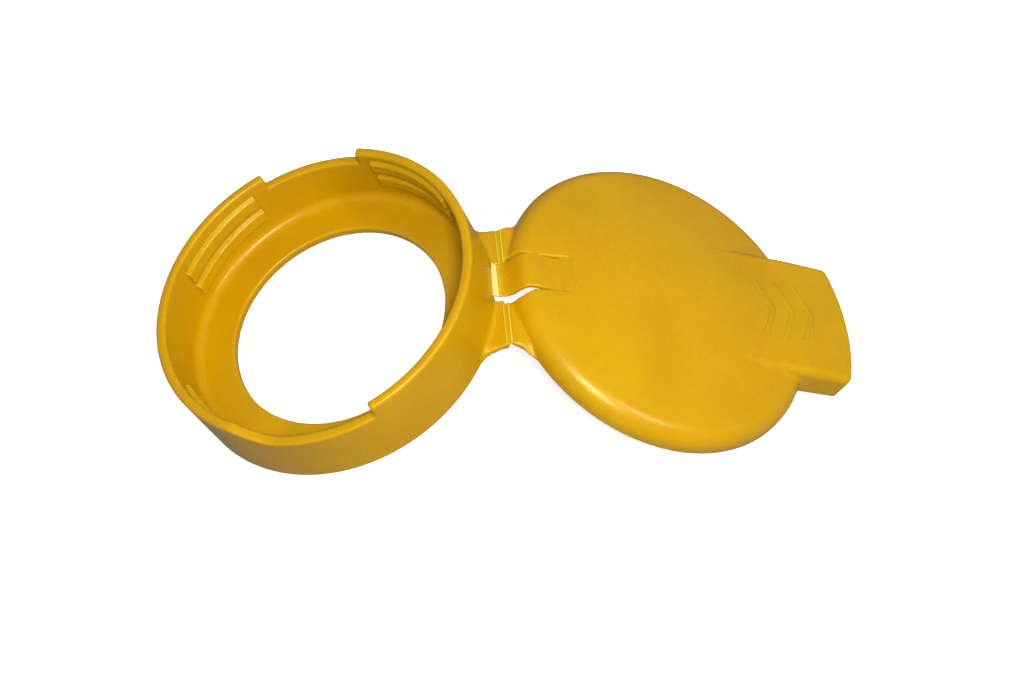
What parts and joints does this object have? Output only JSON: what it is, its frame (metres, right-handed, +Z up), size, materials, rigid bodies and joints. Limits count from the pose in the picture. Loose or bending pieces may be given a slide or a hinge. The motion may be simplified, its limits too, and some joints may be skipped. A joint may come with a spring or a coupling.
{
  "type": "eyewash spray head dust cover",
  "caption": "Flip-top dust cover for an eyewash spray head: a threaded collar, a domed lid with a thumb tab, and a snap hinge with a bowed strap between them.",
  "frame": {"origin": "bottom centre of the part's box, on the surface it stands on", "axes": "+Z up from that surface, +X from the collar to the thumb tab, Y along the hinge line"},
  "size_m": [0.1344, 0.0632, 0.0366],
  "materials": {
    "moulded_plastic": "fine matt grain, opaque warm yellow polypropylene",
    "lug_plastic": "smooth, a little glossier than the walls",
    "film_plastic": "smooth thin polypropylene, slightly paler where it bends"
  },
  "bodies": {
    "collar": {"shoulder_flange": "moulded_plastic", "collar_skirt": "moulded_plastic", "rim_crown_hinge": "moulded_plastic", "rim_crown_far": "moulded_plastic", "thread_lug_1": "lug_plastic", "thread_lug_2": "lug_plastic", "thread_lug_3": "lug_plastic", "thread_lug_4": "lug_plastic", "thread_lug_5": "lug_plastic", "thread_lug_6": "lug_plastic", "thread_lug_7": "lug_plastic", "thread_lug_8": "lug_plastic", "collar_leaf_near": "moulded_plastic", "collar_leaf_far": "moulded_plastic", "strap_film_collar": "film_plastic"},
    "strap": {"snap_strap": "film_plastic"},
    "lid": {"hinge_film_near": "film_plastic", "hinge_film_far": "film_plastic", "strap_film_lid": "film_plastic", "lid_leaf_near": "moulded_plastic", "lid_leaf_far": "moulded_plastic", "lid_skirt": "moulded_plastic", "lid_dome": "moulded_plastic", "plug_ring": "moulded_plastic", "plug_bead": "moulded_plastic", "tab_top": "moulded_plastic", "tab_side_near": "moulded_plastic", "tab_side_far": "moulded_plastic", "tab_end_wall": "moulded_plastic", "lift_arrow": "moulded_plastic"}
  },
  "joints": [
    {"name": "lid_hinge", "type": "hinge", "parent": "collar", "child": "lid", "pos_m": [-0.00331, 0, 0.02365], "axis": [0, 1, 0], "range_deg": [-41.15, 138.85], "deforming": ["hinge_film_near", "hinge_film_far", "strap_film_lid"]},
    {"name": "strap_hinge", "type": "hinge", "parent": "collar", "child": "strap", "pos_m": [-0.00451, 0, 0.02482], "axis": [0, 1, 0], "range_deg": [-37.6, 126.5], "deforming": ["strap_film_collar"]}
  ],
  "couplings": [
    {"joint": "strap_hinge", "follows": "lid_hinge", "ratio": 0.909}
  ]
}
